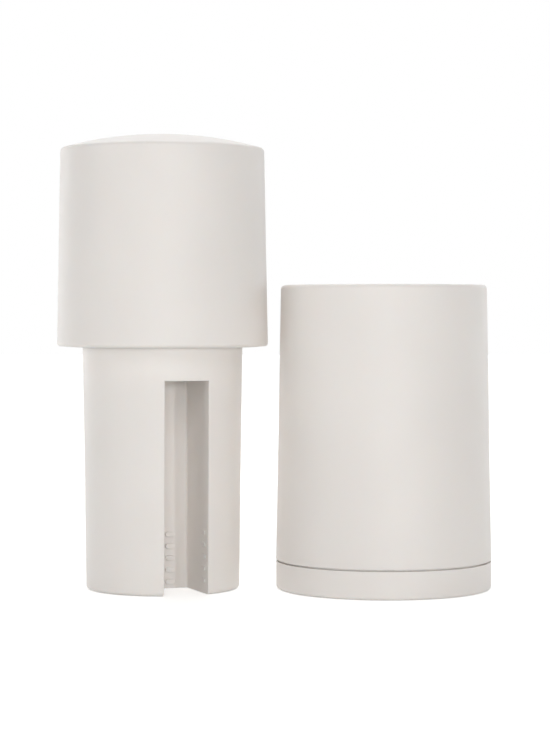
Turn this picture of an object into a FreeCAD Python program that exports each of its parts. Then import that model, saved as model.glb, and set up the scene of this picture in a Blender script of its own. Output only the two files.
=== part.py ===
import FreeCAD, Part
import math
import os

vec = FreeCAD.Vector
up = vec(0, 0, 1)
centre_line = vec(0, 0, 0)

# A hand-twisted spice mill, in millimetres, +Z up, on the floor at z = 0.
# The origin is the middle of the lid's underside, on the axis of the mill body.
# The insert, a knob with a slotted column, is out of the body and stands beside it.

# Mill body and base lid
mill_height = 91.4
shell_base_radius = 32.5
shell_taper = 1.5
shell_wall = 2.0
rim_thickness = 2.4
rim_round = 1.3
rim_inner_round = 1.0
mouth_round = 0.8
lid_height = 8.3
lid_inset = 0.05
lid_floor = 1.6
lid_floor_round = 1.5
lid_wall = 3.85
lid_edge_round = 1.0
seam_height = 0.5
seam_depth = 0.8
seam_round = 0.15
spigot_height = 4.9
spigot_clearance = 0.15
seal_groove_depth = 1.0
seal_height = 1.8
seal_drop = 1.5
seal_clearance = 0.06
seal_lip = 0.3

# Insert: the slotted column, shorter than the mill by column_stand
column_stand = 18.4
shoulder_width = 7.7
column_taper = 0.97
column_round = 1.2
chamber_wall = 1.8
slot_width = 13.7
slot_height = 63.1
slot_back = 2.5
slot_corner_round = 0.5
slot_turn = 20.8
stud_length = 2.9
stud_height = 1.5
stud_rise = 0.5
stud_edge_round = 0.2
stud_count = 5
stud_pitch = 3.55
stud_first = 2.1
stud_root = 0.2
back_stud_offset = 1.3
side_stud_inset = 5.3

# Insert: flange, neck and the well above the slot
flange_recess = 1.6
flange_thickness = 2.5
flange_clearance = 0.35
groove_depth = 0.67
groove_height = 1.1
well_front_inset = 2.5
well_height = 37.0
well_edge_round = 0.8
cover_boss_radius = 2.5
cover_boss_height = 11.0
cover_boss_reach = 2.1

# Insert: knob
knob_overhang = 0.77
knob_taper = 1.13
knob_side_height = 59.3
dome_rise = 4.3
knob_wall = 2.0
knob_rim_round = 1.0
knob_rim_inner_round = 0.4
dome_edge_round = 1.1
knob_pillar_radius = 3.2
knob_screw_inset = 2.7

# Glide ring
glide_proud = 0.2
glide_thickness = 1.5
glide_clearance = 0.45
glide_neck_gap = 0.6
glide_lip_thickness = 0.5
glide_lip_gap = 0.3
glide_split = 2.0

# Bore liner and blade
bore_clearance = 0.35
liner_wall = 1.3
liner_register = 1.0
liner_register_gap = 0.05
liner_flange_gap = 0.3
liner_flange_thickness = 2.4
liner_foot_round = 0.8
blade_thickness = 0.3
blade_seat_width = 1.9
blade_to_column = 0.3
tooth_height = 0.5
tooth_radius = 1.05
tooth_thickness = 0.25
tooth_ring_step = 3.6
tooth_first_ring = 4.4
tooth_spacing = 4.6
blade_edge_margin = 1.5
ring_thickness = 2.5
ring_lip = 0.25
chute_drop = 4.7
chute_flare = 1.1
chute_wall = 1.2
shell_pillar_radius = 2.4
liner_screw_inset = 1.75
ring_boss_radius = 2.0
ring_boss_height = 4.0
ring_screw_inset = 2.0

# Pusher
pusher_clearance = 0.25
pusher_height = 6.0
pusher_round = 0.8
pusher_travel = 20.0
grip_groove_depth = 0.6
grip_groove_count = 5
rod_radius = 2.0
rod_seat = 4.0
rod_running_gap = 0.06
rod_press_gap = 0.01
rod_above_clip = 1.6
spring_wire_radius = 0.35
spring_mean_radius = 4.6
spring_turns = 8
spring_end_rise = 1.2
cover_thickness = 2.2
cover_plug_depth = 1.5
cover_plug_gap = 0.1
cover_guide_radius = 4.0
cover_guide_height = 1.5
clip_thickness = 0.6
clip_radius = 4.2
clip_groove_depth = 0.5
clip_mouth = 2.4
clip_gap = 0.05

# Screws
screw_shank_radius = 0.9
screw_pilot_gap = 0.02
screw_hole_gap = 0.2
pan_head_radius = 1.8
pan_head_height = 1.4
screw_length = 9.0
ring_screw_length = 7.5
countersunk_head_radius = 2.1
cross_width = 0.5
cross_length = 1.9
cross_depth = 0.7
small_gap = 0.3

# Edges
soft_edge = 0.5
fine_edge = 0.3
hair_edge = 0.2

# The gap between the two items, side by side
standing_gap = 2.43

# Sizes that follow from the ones above
shell_top_radius = shell_base_radius - shell_taper
lid_radius = shell_base_radius - lid_inset
knob_bottom_radius = shell_top_radius + knob_overhang
knob_top_radius = knob_bottom_radius - knob_taper
column_length = mill_height - column_stand
column_top_radius = knob_bottom_radius - shoulder_width
column_bottom_radius = column_top_radius - column_taper
well_front = column_bottom_radius - well_front_inset
side_stud_radius = column_bottom_radius - side_stud_inset
insert_place = vec(-(shell_base_radius + standing_gap + knob_bottom_radius), 0, 0)
slot_half = slot_width / 2
glide_low = column_length - glide_proud
glide_high = glide_low + glide_thickness
flange_low = column_length + flange_recess
flange_high = flange_low + flange_thickness
flange_radius = knob_bottom_radius - knob_wall - flange_clearance
knob_pillar_place = flange_radius - knob_screw_inset
well_top = slot_height + well_height
knob_side_top = column_length + knob_side_height
knob_apex = knob_side_top + dome_rise
dome_radius = (knob_top_radius**2 + dome_rise**2) / (2 * dome_rise)
seated_column = mill_height + glide_proud - column_length
tooth_top = seated_column - blade_to_column
blade_top = tooth_top - tooth_height
blade_bottom = blade_top - blade_thickness
bore_bottom_radius = column_bottom_radius + bore_clearance
bore_top_radius = column_top_radius + bore_clearance
blade_radius = bore_bottom_radius + blade_seat_width
flange_top = blade_top + liner_flange_thickness
ring_bottom = blade_top - ring_thickness
spigot_top = lid_height + spigot_height
lid_bore = lid_radius - lid_wall
thirds = [90, 210, 330]
between_thirds = [30, 150, 270]


def along(low_value, high_value, low, high, height):
    """A value that changes evenly from one height to another."""
    return low_value + (high_value - low_value) * (height - low) / (high - low)


def shell_outside(height):
    """Outside radius of the body's shell."""
    return along(shell_base_radius, shell_top_radius, lid_height + seam_height, mill_height, height)


def shell_inside(height):
    """Inside radius of the body's shell."""
    return shell_outside(height) - shell_wall


def column_outside(height):
    """Outside radius of the column, measured from the column's foot."""
    return along(column_bottom_radius, column_top_radius, 0, column_length, height)


def bore_inside(height):
    """Radius of the liner's bore at a height in the body: the seated column and its clearance."""
    return column_outside(height - seated_column) + bore_clearance


def liner_flange_radius():
    """Radius of the liner's flange and of the blade ring under it, inside the shell."""
    return shell_inside(flange_top) - liner_flange_gap


def liner_screw_place():
    """Radius of the circle of the liner's screws and of the shell's pillars."""
    return liner_flange_radius() - liner_screw_inset


def ring_screw_place():
    """Radius of the circle of the blade ring's screws."""
    return liner_flange_radius() - ring_screw_inset


def knob_outside(height):
    """Outside radius of the knob's side, measured from the column's foot."""
    return along(knob_bottom_radius, knob_top_radius, column_length, knob_side_top, height)


def corner_pieces(before, corner, after, rounding):
    """Where a rounded corner starts, its middle and its end."""
    back = (before - corner).normalize()
    ahead = (after - corner).normalize()
    half_angle = back.getAngle(ahead) / 2
    reach = rounding / math.tan(half_angle)
    start = corner + back * reach
    end = corner + ahead * reach
    inward = (back + ahead).normalize()
    middle = corner + inward * (rounding / math.sin(half_angle) - rounding)
    return start, middle, end


def outline(corners):
    """A closed outline in the XZ plane from (radius, height) or (radius, height, rounding) corners."""
    points = [vec(c[0], 0, c[1]) for c in corners]
    roundings = [c[2] if len(c) > 2 else 0 for c in corners]
    count = len(points)
    edges = []
    stops = []
    for i in range(count):
        if roundings[i]:
            stops.append(corner_pieces(points[i - 1], points[i], points[(i + 1) % count], roundings[i]))
        else:
            stops.append((points[i], None, points[i]))
    for i in range(count):
        start, middle, end = stops[i]
        if middle:
            edges.append(Part.Arc(start, middle, end).toShape())
        next_start = stops[(i + 1) % count][0]
        if (next_start - end).Length > 1e-6:
            edges.append(Part.LineSegment(end, next_start).toShape())
    return Part.Wire(edges)


def turned(corners):
    """A solid turned about the Z axis from an outline's corners."""
    return Part.Face(outline(corners)).revolve(centre_line, up, 360)


def block(half_width, back, front, low, high):
    """A block across the slot: back and front are distances from the column's axis."""
    return Part.makeBox(2 * half_width, front - back, high - low, vec(-half_width, -front, low))


def rod(radius, low, high, x=0.0, y=0.0):
    """An upright cylinder."""
    return Part.makeCylinder(radius, high - low, vec(x, y, low), up)


def polar(radius, degrees):
    """The x and y of a point at a radius and an angle."""
    angle = math.radians(degrees)
    return radius * math.cos(angle), radius * math.sin(angle)


def rods(radius, low, high, place, degrees):
    """Upright cylinders on a circle."""
    return [rod(radius, low, high, *polar(place, d)) for d in degrees]


def round_upright_edges(solid, rounding):
    """Rounds every upright straight edge of a solid."""
    picked = []
    for edge in solid.Edges:
        ends = [v.Point for v in edge.Vertexes]
        if len(ends) == 2 and abs((ends[1] - ends[0]).normalize().z) > 0.999:
            picked.append(edge)
    return solid.makeFillet(rounding, picked)


def pan_screw(length):
    """A pan-head screw, upright, with the head's underside at z = 0 and the head below it."""
    head = turned([
        (0, 0),
        (0, -pan_head_height),
        (pan_head_radius, -pan_head_height, pan_head_height / 2),
        (pan_head_radius, 0),
    ])
    shank = rod(screw_shank_radius, 0, length - screw_shank_radius)
    tip = Part.makeCone(screw_shank_radius, screw_shank_radius / 3, screw_shank_radius,
                        vec(0, 0, length - screw_shank_radius), up)
    return cut_cross(head.fuse([shank, tip]).removeSplitter(), -pan_head_height)


def countersunk_screw(length):
    """A countersunk screw, upright, with the head's flat face at z = 0 and the shank above it."""
    head_height = countersunk_head_radius - screw_shank_radius
    body = turned([
        (0, 0),
        (countersunk_head_radius, 0),
        (screw_shank_radius, head_height),
        (screw_shank_radius, length - screw_shank_radius),
        (screw_shank_radius / 3, length),
        (0, length),
    ])
    return cut_cross(body, 0)


def cut_cross(screw, face):
    """Cuts the cross recess into a head whose outer face looks down from a height."""
    deep = vec(-cross_length / 2, -cross_width / 2, face - 1)
    wide = vec(-cross_width / 2, -cross_length / 2, face - 1)
    bars = [
        Part.makeBox(cross_length, cross_width, cross_depth + 1, deep),
        Part.makeBox(cross_width, cross_length, cross_depth + 1, wide),
    ]
    return screw.cut(bars)


def screws_on_circle(screw, place, degrees, height):
    """Copies of an upright screw on a circle."""
    copies = []
    for d in degrees:
        x, y = polar(place, d)
        copies.append(screw.translated(vec(x, y, height)))
    return Part.makeCompound(copies)


def stand_beside(shape):
    """Turns a piece of the insert as it faces in its place and stands it beside the body."""
    moved = shape.rotated(centre_line, up, slot_turn)
    return moved.translated(insert_place)


def make_base_lid():
    """The pull-off lid: a shallow cup with a spigot that enters the shell."""
    spigot_radius = shell_inside(spigot_top) - spigot_clearance
    groove_top = spigot_top - seal_drop
    groove_bottom = groove_top - seal_height
    return turned([
        (0, 0),
        (lid_radius, 0, lid_edge_round),
        (lid_radius, lid_height, seam_round),
        (spigot_radius, lid_height),
        (spigot_radius, groove_bottom),
        (spigot_radius - seal_groove_depth, groove_bottom),
        (spigot_radius - seal_groove_depth, groove_top),
        (spigot_radius, groove_top),
        (spigot_radius, spigot_top, fine_edge),
        (lid_bore, spigot_top, fine_edge),
        (lid_bore, lid_floor, lid_floor_round),
        (0, lid_floor),
    ])


def make_lid_seal():
    """The soft ring in the spigot's groove, which grips the shell."""
    spigot_radius = shell_inside(spigot_top) - spigot_clearance
    seal_top = spigot_top - seal_drop
    outside = shell_inside(seal_top) - seal_clearance
    inside = spigot_radius - seal_groove_depth
    return turned([
        (inside, seal_top - seal_height),
        (outside - seal_lip, seal_top - seal_height, hair_edge),
        (outside, seal_top - seal_height / 2, soft_edge),
        (outside - seal_lip, seal_top, hair_edge),
        (inside, seal_top),
    ])


def make_body_shell():
    """The tapered outer shell with its rim and its screw pillars."""
    under_rim = mill_height - rim_thickness
    register_top = under_rim + liner_register
    register_radius = bore_inside(register_top) + liner_wall + liner_register_gap
    shell = turned([
        (shell_inside(lid_height), lid_height),
        (shell_base_radius - seam_depth, lid_height),
        (shell_base_radius - seam_depth, lid_height + seam_height),
        (shell_base_radius, lid_height + seam_height, seam_round),
        (shell_top_radius, mill_height, rim_round),
        (bore_top_radius, mill_height, mouth_round),
        (bore_top_radius, register_top),
        (register_radius, register_top),
        (register_radius, under_rim),
        (shell_inside(under_rim), under_rim, rim_inner_round),
    ])
    pillars = rods(shell_pillar_radius, flange_top, under_rim, liner_screw_place(), thirds)
    pilots = rods(screw_shank_radius + screw_pilot_gap, flange_top - 1, flange_top + screw_length,
                  liner_screw_place(), thirds)
    return shell.fuse(pillars).cut(pilots).removeSplitter()


def make_bore_liner():
    """The tapered sleeve in which the column turns, with the flange that carries the blade."""
    liner_top = mill_height - rim_thickness + liner_register
    low_bore = bore_inside(blade_top)
    high_bore = bore_inside(liner_top)
    sleeve = turned([
        (low_bore, blade_top),
        (liner_flange_radius(), blade_top),
        (liner_flange_radius(), flange_top, soft_edge),
        (low_bore + liner_wall, flange_top, liner_foot_round),
        (high_bore + liner_wall, liner_top),
        (high_bore, liner_top),
    ])
    boss_top = flange_top + ring_boss_height
    bosses = rods(ring_boss_radius, blade_top, boss_top, ring_screw_place(), between_thirds)
    bore = turned([
        (0, blade_top - 1),
        (bore_inside(blade_top - 1), blade_top - 1),
        (bore_inside(liner_top + 1), liner_top + 1),
        (0, liner_top + 1),
    ])
    pilots = rods(screw_shank_radius + screw_pilot_gap, blade_top - 1, boss_top - 1,
                  ring_screw_place(), between_thirds)
    clearances = rods(screw_shank_radius + screw_hole_gap, blade_top - 1, flange_top + 1,
                      liner_screw_place(), thirds)
    return sleeve.fuse(bosses).cut([bore] + pilots + clearances).removeSplitter()


def tooth_places():
    """The blade's teeth on rings, as (radius, degrees); every second ring is turned by half a step."""
    places = []
    radius = tooth_first_ring
    turn = 0.0
    while radius + tooth_radius < bore_bottom_radius - blade_edge_margin + tooth_radius / 2:
        count = round(2 * math.pi * radius / tooth_spacing)
        for i in range(count):
            places.append((radius, 360 * (i + turn) / count))
        radius += tooth_ring_step
        turn = 0.5 - turn
    return places


def half_disc(radius, thickness):
    """A half disc whose straight side lies on the X axis; the round side points to +Y."""
    arc = Part.Arc(vec(radius, 0, 0), vec(0, radius, 0), vec(-radius, 0, 0)).toShape()
    side = Part.LineSegment(vec(-radius, 0, 0), vec(radius, 0, 0)).toShape()
    return Part.Face(Part.Wire([arc, side])).extrude(vec(0, 0, thickness))


def make_blade_disc():
    """The etched steel disc: half-round holes, each with its tongue bent up as a cutting edge."""
    disc = rod(blade_radius, blade_bottom, blade_top)
    lean = math.degrees(math.asin((tooth_height - tooth_thickness / 3) / tooth_radius))
    hole = half_disc(tooth_radius + 0.1, blade_thickness + 2)
    hole.translate(vec(0, -0.02, blade_bottom - 1))
    tongue = half_disc(tooth_radius, tooth_thickness)
    tongue.rotate(centre_line, vec(1, 0, 0), lean)
    tongue.translate(vec(0, -0.08, blade_top - tooth_thickness))
    holes = []
    tongues = []
    for radius, degrees in tooth_places():
        for piece, group in ((hole, holes), (tongue, tongues)):
            placed = piece.translated(vec(radius, 0, 0))
            placed.rotate(centre_line, up, degrees)
            group.append(placed)
    print("blade teeth:", len(tongues))
    return disc.cut(holes).fuse(tongues).removeSplitter()


def make_blade_ring():
    """The ring that clamps the blade from below, with the chute for the powder."""
    bore = bore_bottom_radius - ring_lip
    seat_radius = blade_radius + screw_pilot_gap
    chute_bottom = ring_bottom - chute_drop
    ring = turned([
        (bore, blade_bottom),
        (seat_radius, blade_bottom),
        (seat_radius, blade_top),
        (liner_flange_radius(), blade_top),
        (liner_flange_radius(), ring_bottom, soft_edge),
        (bore + chute_wall, ring_bottom, soft_edge),
        (bore + chute_flare + chute_wall, chute_bottom),
        (bore + chute_flare, chute_bottom),
    ])
    scallops = rods(pan_head_radius + small_gap, ring_bottom - 1, blade_top + 1, liner_screw_place(), thirds)
    clearances = rods(screw_shank_radius + screw_hole_gap, ring_bottom - 1, blade_top + 1,
                      ring_screw_place(), between_thirds)
    return ring.cut(scallops + clearances)


def stud(rise):
    """A grip stud: a low oval, standing on the XZ plane and rising towards -Y."""
    end = (stud_length - stud_height) / 2
    half = stud_height / 2
    top_left, top_right = vec(-end, 0, half), vec(end, 0, half)
    low_left, low_right = vec(-end, 0, -half), vec(end, 0, -half)
    wire = Part.Wire([
        Part.LineSegment(low_left, low_right).toShape(),
        Part.Arc(low_right, vec(end + half, 0, 0), top_right).toShape(),
        Part.LineSegment(top_right, top_left).toShape(),
        Part.Arc(top_left, vec(-end - half, 0, 0), low_left).toShape(),
    ])
    raised = Part.Face(wire).extrude(vec(0, -rise, 0))
    front_edges = [e for e in raised.Edges if abs(e.CenterOfMass.y + rise) < 1e-4]
    return raised.makeFillet(stud_edge_round, front_edges)


def make_studs():
    """The grip studs on the slot's back wall and, half a step higher, on its two side walls."""
    low_stud = stud(stud_rise + stud_root)
    studs = []
    for i in range(stud_count):
        height = stud_first + i * stud_pitch
        studs.append(low_stud.translated(vec(back_stud_offset, stud_root - slot_back, height)))
        for side in (-1, 1):
            turned_stud = low_stud.rotated(centre_line, up, 90 * -side)
            studs.append(turned_stud.translated(
                vec(side * (slot_half + stud_root), -side_stud_radius, height + stud_pitch / 2)))
    return studs


def make_spice_chamber():
    """The slotted column with its neck, flange and well, moulded in one."""
    groove_low = glide_high - small_gap - glide_lip_thickness - glide_lip_gap
    neck = column_top_radius
    column = turned([
        (0, 0),
        (column_bottom_radius, 0, column_round),
        (neck, column_length),
        (neck, groove_low),
        (neck - groove_depth, groove_low),
        (neck - groove_depth, groove_low + groove_height),
        (neck, groove_low + groove_height),
        (neck, flange_low),
        (flange_radius, flange_low),
        (flange_radius, flange_high, soft_edge),
        (0, flange_high),
    ])
    wall_half = slot_half + chamber_wall
    outer_reach = 2 * knob_bottom_radius
    hollow = turned([
        (0, chamber_wall),
        (column_outside(0) - chamber_wall, chamber_wall, soft_edge),
        (column_outside(flange_high + 1) - chamber_wall, flange_high + 1),
        (0, flange_high + 1),
    ])
    walls = block(wall_half, slot_back - chamber_wall, outer_reach, 0, flange_high + 1)
    tower = block(wall_half, slot_back - chamber_wall, well_front + chamber_wall, flange_low, well_top)
    tower = round_upright_edges(tower, well_edge_round)
    body = column.cut(hollow.cut(walls)).fuse([tower] + make_cover_bosses())
    slot = block(slot_half, slot_back, outer_reach, -1, slot_height)
    slot = round_upright_edges(slot, slot_corner_round)
    well = block(slot_half, slot_back, well_front, slot_height - 1, well_top + 1)
    well = round_upright_edges(well, slot_corner_round)
    boss_x, boss_y = cover_boss_place()
    pilots = []
    for side in (-1, 1):
        pilots.append(rod(screw_shank_radius + screw_pilot_gap, well_top - screw_length, well_top + 1,
                          side * boss_x, boss_y))
    body = body.cut([slot, well] + pilots + flange_screw_holes())
    return body.fuse(make_studs()).removeSplitter()


def cover_boss_place():
    """Where the two screw bosses stand beside the well."""
    return slot_half + chamber_wall + cover_boss_reach, -(slot_back + well_front) / 2


def make_cover_bosses():
    """The screw bosses on the well's sides, each with a sloping foot."""
    boss_x, boss_y = cover_boss_place()
    low = well_top - cover_boss_height
    bosses = []
    for side in (-1, 1):
        x = side * boss_x
        bosses.append(rod(cover_boss_radius, low, well_top, x, boss_y))
        bosses.append(Part.makeCone(0.2, cover_boss_radius, cover_boss_radius * 1.6,
                                    vec(x, boss_y, low - cover_boss_radius * 1.6), up))
    return bosses


def flange_screw_holes():
    """Countersunk holes through the chamber's flange."""
    head = countersunk_head_radius + small_gap / 3
    shank = screw_shank_radius + screw_hole_gap
    holes = []
    for d in thirds:
        x, y = polar(knob_pillar_place, d)
        holes.append(Part.makeCone(head, shank, head - shank, vec(x, y, flange_low), up))
        holes.append(rod(shank, flange_low, flange_high + 1, x, y))
    return holes


def make_knob_shell():
    """The tall knob: tapered side, domed top and three screw pillars inside."""
    outer_start = vec(knob_bottom_radius, 0, column_length)
    outer_top = vec(knob_top_radius, 0, knob_side_top)
    apex = vec(0, 0, knob_apex)
    dome_centre = knob_apex - dome_radius
    inner_radius = dome_radius - knob_wall
    ceiling_radius = knob_outside(knob_side_top - knob_wall) - knob_wall
    ceiling_edge = dome_centre + math.sqrt(inner_radius**2 - ceiling_radius**2)
    inner_top = vec(ceiling_radius, 0, ceiling_edge)
    inner_apex = vec(0, 0, knob_apex - knob_wall)
    inner_start = vec(knob_bottom_radius - knob_wall, 0, column_length)

    def dome_middle(radius, reach):
        half = math.asin(reach / radius) / 2
        return vec(radius * math.sin(half), 0, dome_centre + radius * math.cos(half))

    wire = Part.Wire([
        Part.LineSegment(outer_start, outer_top).toShape(),
        Part.Arc(outer_top, dome_middle(dome_radius, knob_top_radius), apex).toShape(),
        Part.LineSegment(apex, inner_apex).toShape(),
        Part.Arc(inner_apex, dome_middle(inner_radius, ceiling_radius), inner_top).toShape(),
        Part.LineSegment(inner_top, inner_start).toShape(),
        Part.LineSegment(inner_start, outer_start).toShape(),
    ])
    shell = Part.Face(wire).revolve(centre_line, up, 360)
    for radius, height, rounding in (
        (knob_top_radius, knob_side_top, dome_edge_round),
        (knob_bottom_radius, column_length, knob_rim_round),
        (knob_bottom_radius - knob_wall, column_length, knob_rim_inner_round),
    ):
        shell = shell.makeFillet(rounding, round_edges(shell, radius, height))
    inside = turned([
        (0, flange_high),
        (knob_outside(flange_high) - knob_wall / 2, flange_high),
        (knob_outside(knob_side_top) - knob_wall / 2, ceiling_edge),
        (0, ceiling_edge),
    ])
    pillars = rods(knob_pillar_radius, flange_high, knob_apex, knob_pillar_place, thirds)
    pillars = [pillar.common(inside) for pillar in pillars]
    pilots = rods(screw_shank_radius + screw_pilot_gap, flange_high - 1, flange_low + screw_length + 1,
                  knob_pillar_place, thirds)
    return shell.fuse(pillars).cut(pilots).removeSplitter()


def round_edges(solid, radius, height):
    """The round edges of a solid with a given radius at a given height."""
    found = []
    for edge in solid.Edges:
        if edge.Degenerated:
            continue
        curve = edge.Curve
        if isinstance(curve, Part.Circle):
            if abs(curve.Radius - radius) < 1e-3 and abs(curve.Center.z - height) < 1e-3:
                found.append(edge)
    return found


def make_glide_ring():
    """The split ring on the neck: its lip runs in the neck's groove."""
    outside = knob_bottom_radius - knob_wall - glide_clearance
    inside = column_top_radius + glide_neck_gap
    lip_inside = column_top_radius - groove_depth + glide_lip_gap
    lip_high = glide_high - small_gap
    lip_low = lip_high - glide_lip_thickness
    ring = turned([
        (inside, glide_low, hair_edge),
        (outside, glide_low, fine_edge),
        (outside, glide_high, fine_edge),
        (inside, glide_high),
        (inside, lip_high),
        (lip_inside, lip_high),
        (lip_inside, lip_low),
        (inside, lip_low),
    ])
    split_corner = vec(-glide_split / 2, 0, glide_low - 1)
    split = Part.makeBox(glide_split, outside + 1, glide_thickness + 2, split_corner)
    return ring.cut(split)


def well_middle():
    """The Y of the pusher's axis, halfway between the well's back and front."""
    return -(slot_back + well_front) / 2


def make_pusher_head():
    """The block that presses on the spice, with grip grooves underneath."""
    head = block(slot_half - pusher_clearance, slot_back + pusher_clearance, well_front - pusher_clearance,
                 slot_height, slot_height + pusher_height)
    head = round_upright_edges(head, pusher_round)
    length = well_front - slot_back
    grooves = []
    for i in range(grip_groove_count):
        y = -slot_back - length * (i + 0.5) / grip_groove_count
        groove = Part.Face(Part.makePolygon([
            vec(-slot_half, y - grip_groove_depth, slot_height),
            vec(-slot_half, y, slot_height + grip_groove_depth),
            vec(-slot_half, y + grip_groove_depth, slot_height),
            vec(-slot_half, y - grip_groove_depth, slot_height),
        ])).extrude(vec(slot_width, 0, 0))
        grooves.append(groove)
    seat = rod(rod_radius + rod_press_gap, rod_low(), slot_height + pusher_height + 1, 0, well_middle())
    return head.cut(grooves + [seat])


def rod_low():
    """The foot of the rod, sunk into the pusher's head."""
    return slot_height + pusher_height - rod_seat


def guide_top():
    """The top of the spring cover's guide, on which the clip rests."""
    return well_top + cover_thickness + cover_guide_height


def make_pusher_rod():
    """The steel rod, with the groove that holds the clip."""
    groove_low = guide_top() + clip_gap
    groove_high = groove_low + clip_thickness
    thin = rod_radius - clip_groove_depth
    body = turned([
        (0, rod_low()),
        (rod_radius, rod_low()),
        (rod_radius, groove_low),
        (thin, groove_low),
        (thin, groove_high),
        (rod_radius, groove_high),
        (rod_radius, groove_high + rod_above_clip, fine_edge),
        (0, groove_high + rod_above_clip),
    ])
    return body.translated(vec(0, well_middle(), 0))


def make_rod_clip():
    """The open retaining clip in the rod's groove."""
    low = guide_top() + clip_gap
    inside = rod_radius - clip_groove_depth + screw_pilot_gap
    ring = turned([
        (inside, low),
        (clip_radius, low),
        (clip_radius, low + clip_thickness),
        (inside, low + clip_thickness),
    ])
    mouth = Part.makeBox(clip_mouth, clip_radius + 1, clip_thickness + 2, vec(-clip_mouth / 2, 0, low - 1))
    return ring.cut(mouth).translated(vec(0, well_middle(), 0))


def make_spring_cover():
    """The cover on the well: a plate with two ears, a plug and a guide for the rod."""
    boss_x, boss_y = cover_boss_place()
    cover_top = well_top + cover_thickness
    plate = block(slot_half + chamber_wall, slot_back - chamber_wall, well_front + chamber_wall,
                  well_top, cover_top)
    plate = round_upright_edges(plate, well_edge_round)
    ears = [rod(cover_boss_radius, well_top, cover_top, side * boss_x, boss_y) for side in (-1, 1)]
    plug = block(slot_half - cover_plug_gap, slot_back + cover_plug_gap, well_front - cover_plug_gap,
                 well_top - cover_plug_depth, well_top)
    plug = round_upright_edges(plug, slot_corner_round)
    guide = rod(cover_guide_radius, well_top, guide_top(), 0, well_middle())
    plug_low = well_top - cover_plug_depth
    bore = rod(rod_radius + rod_running_gap, plug_low - 1, guide_top() + 1, 0, well_middle())
    holes = [rod(screw_shank_radius + screw_hole_gap, well_top - 1, cover_top + 1,
                 side * boss_x, boss_y) for side in (-1, 1)]
    return plate.fuse(ears + [plug, guide]).cut([bore] + holes).removeSplitter()


def make_cover_screws():
    """The two screws that hold the spring cover, heads up."""
    boss_x, boss_y = cover_boss_place()
    screw = pan_screw(screw_length).rotated(centre_line, vec(1, 0, 0), 180)
    places = [vec(side * boss_x, boss_y, well_top + cover_thickness) for side in (-1, 1)]
    return Part.makeCompound([screw.translated(place) for place in places])


def arc_from(start, heading, end):
    """The arc that leaves a point along a heading and ends at another point."""
    chord = end - start
    along_chord = vec(chord).normalize()
    aside = heading - along_chord * heading.dot(along_chord)
    half_turn = heading.getAngle(along_chord)
    middle = start + chord / 2 + aside.normalize() * (chord.Length / 2 * math.tan(half_turn / 2))
    return Part.Arc(start, middle, end).toShape()


def joined_arcs(start, heading, end, end_heading):
    """Two arcs that join two points smoothly along the given headings."""
    gap = end - start
    both = heading + end_heading
    a = 2 * (heading.dot(end_heading) - 1)
    b = -2 * gap.dot(both)
    c = gap.dot(gap)
    reach = (-b - math.sqrt(b * b - 4 * a * c)) / (2 * a)
    join = (start + heading * reach + end - end_heading * reach) / 2
    first = arc_from(start, heading, join)
    second = arc_from(end, end_heading * -1, join)
    return [first, second]


def spring_rise(turn, pitch):
    """Rise per turn of the spring at a number of turns from its foot: flatter at both ends."""
    from_end = min(turn, spring_turns - turn)
    ease = min(max(from_end - 0.5, 0), 1)
    return spring_end_rise + (pitch - spring_end_rise) * ease


def make_pusher_spring():
    """The coil spring round the rod, one wire from the pusher's head to the cover's plug."""
    low = slot_height + pusher_height + spring_wire_radius
    high = well_top - cover_plug_depth - spring_wire_radius
    steps = spring_turns * 16
    turns = [spring_turns * i / steps for i in range(steps + 1)]
    middles = [(a + b) / 2 for a, b in zip(turns, turns[1:])]
    flat = sum(spring_rise(t, 0) for t in middles) / 16
    full = sum(spring_rise(t, 1) for t in middles) / 16
    pitch = (high - low - flat) / (full - flat)
    heights = [low]
    for t in middles:
        heights.append(heights[-1] + spring_rise(t, pitch) / 16)

    def point(i):
        x, y = polar(spring_mean_radius, 360 * turns[i])
        return vec(x, y + well_middle(), heights[i])

    def heading(i):
        x, y = polar(spring_mean_radius, 360 * turns[i] + 90)
        return vec(x, y, spring_rise(turns[i], pitch) / (2 * math.pi)).normalize()

    edges = []
    for i in range(0, steps, 8):
        edges += joined_arcs(point(i), heading(i), point(i + 8), heading(i + 8))
    path = Part.Wire(Part.sortEdges(edges)[0])
    section = Part.Wire([Part.Circle(point(0), heading(0), spring_wire_radius).toShape()])
    spring = path.makePipeShell([section], True, False)
    least = min((point(i + 16) - point(i)).Length for i in range(steps - 15))
    print("spring: least gap between turns %.2f mm" % (least - 2 * spring_wire_radius))
    expected = math.pi * spring_wire_radius**2 * path.Length
    print("spring: volume %.1f, section times length %.1f" % (spring.Volume, expected))
    return spring


def make_all():
    """Every piece in its place, by the name of its node."""
    liner_screws = screws_on_circle(pan_screw(screw_length), liner_screw_place(), thirds, blade_top)
    ring_screws = screws_on_circle(
        pan_screw(ring_screw_length), ring_screw_place(), between_thirds, ring_bottom)
    chamber_screws = screws_on_circle(countersunk_screw(screw_length), knob_pillar_place, thirds, flange_low)
    in_body = {
        "base_lid": make_base_lid(),
        "lid_seal": make_lid_seal(),
        "body_shell": make_body_shell(),
        "bore_liner": make_bore_liner(),
        "liner_screws": liner_screws,
        "blade_disc": make_blade_disc(),
        "blade_ring": make_blade_ring(),
        "ring_screws": ring_screws,
    }
    in_insert = {
        "knob_shell": make_knob_shell(),
        "spice_chamber": make_spice_chamber(),
        "chamber_screws": chamber_screws,
        "glide_ring": make_glide_ring(),
        "pusher_head": make_pusher_head(),
        "pusher_rod": make_pusher_rod(),
        "pusher_spring": make_pusher_spring(),
        "spring_cover": make_spring_cover(),
        "cover_screws": make_cover_screws(),
        "rod_clip": make_rod_clip(),
    }
    pieces = dict(in_body)
    for name, shape in in_insert.items():
        pieces[name] = stand_beside(shape)
    return pieces


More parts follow.
